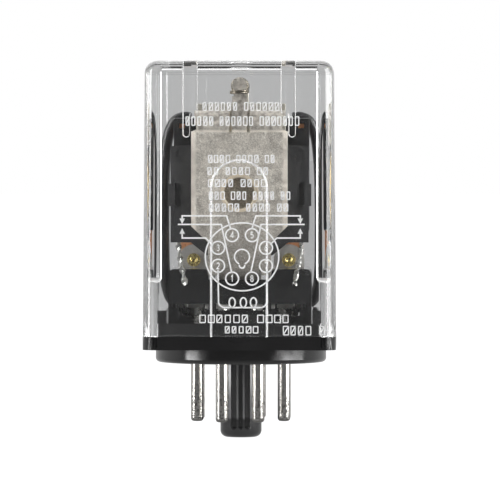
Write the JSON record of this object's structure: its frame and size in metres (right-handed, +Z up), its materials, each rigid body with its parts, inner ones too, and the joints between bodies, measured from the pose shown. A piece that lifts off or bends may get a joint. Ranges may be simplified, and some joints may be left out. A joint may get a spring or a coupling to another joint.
{
  "type": "plug-in relay",
  "caption": "Clear-covered plug-in control relay with an octal pin base, a hinged armature and two changeover contacts.",
  "frame": {"origin": "on the axis of the locating post, in the plane where the disc seats on the socket", "axes": "+X to the right seen from the front, +Y towards the back, where the post's key is, +Z up from the socket to the cover's roof"},
  "size_m": [0.0356, 0.0356, 0.0699],
  "materials": {
    "base_black": "moulded black, glossy",
    "cover_clear": "clear moulded polycarbonate",
    "pin_nickel": "nickel plated, tinned tips",
    "solder": "tinned, bright",
    "block_black": "moulded black, satin",
    "bobbin_black": "moulded black, satin",
    "carrier_black": "moulded black, satin",
    "yoke_nickel": "matt nickel plate with a grainy, blasted look",
    "armature_nickel": "matt nickel plate",
    "core_iron": "matt nickel plate, tarnished",
    "terminal_nickel": "dull nickel plate",
    "screw_zinc": "bright zinc plate",
    "spring_steel": "drawn wire",
    "contact_silver": "silver alloy",
    "brass": "bright brass",
    "copper": "rolled copper alloy",
    "winding_enamel": "enamelled copper wire",
    "coil_tape": "amber polyester tape",
    "lead_black": "black flexible insulation",
    "print_white": "white printing ink on the cover"
  },
  "bodies": {
    "relay_body": {"base": "base_black", "cover": "cover_clear", "pin_1": "pin_nickel", "pin_2": "pin_nickel", "pin_3": "pin_nickel", "pin_4": "pin_nickel", "pin_5": "pin_nickel", "pin_6": "pin_nickel", "pin_7": "pin_nickel", "pin_8": "pin_nickel", "pin_joints": "solder", "terminal_block": "block_black", "yoke": "yoke_nickel", "yoke_screw": "screw_zinc", "core": "core_iron", "shading_ring": "copper", "bobbin": "bobbin_black", "coil_winding": "winding_enamel", "coil_tape": "coil_tape", "coil_lead_left": "solder", "coil_lead_right": "solder", "flex_lead_left": "lead_black", "flex_lead_right": "lead_black", "no_terminal_left": "terminal_nickel", "no_terminal_right": "terminal_nickel", "no_contact_left": "brass", "no_contact_right": "brass", "nc_terminal_left": "terminal_nickel", "nc_terminal_right": "terminal_nickel", "nc_contact_left": "brass", "nc_contact_right": "brass", "return_spring": "spring_steel"},
    "armature_set": {"armature": "armature_nickel", "residual_rivet": "brass", "armature_rivets": "screw_zinc", "blade_carrier": "carrier_black", "blade_rivets": "brass", "moving_blade_left": "copper", "moving_blade_right": "copper", "moving_contact_left": "contact_silver", "moving_contact_right": "contact_silver", "lead_end_left": "copper", "lead_end_right": "copper"}
  },
  "joints": [
    {"name": "armature_pivot", "type": "hinge", "parent": "relay_body", "child": "armature_set", "pos_m": [0, 0.00265, 0.0467], "axis": [-1, 0, 0], "range_deg": [0, 3], "stiffness_Nm_per_rad": 0.0065, "springref_deg": -34.38, "deforming": ["return_spring", "flex_lead_left", "flex_lead_right"]}
  ]
}
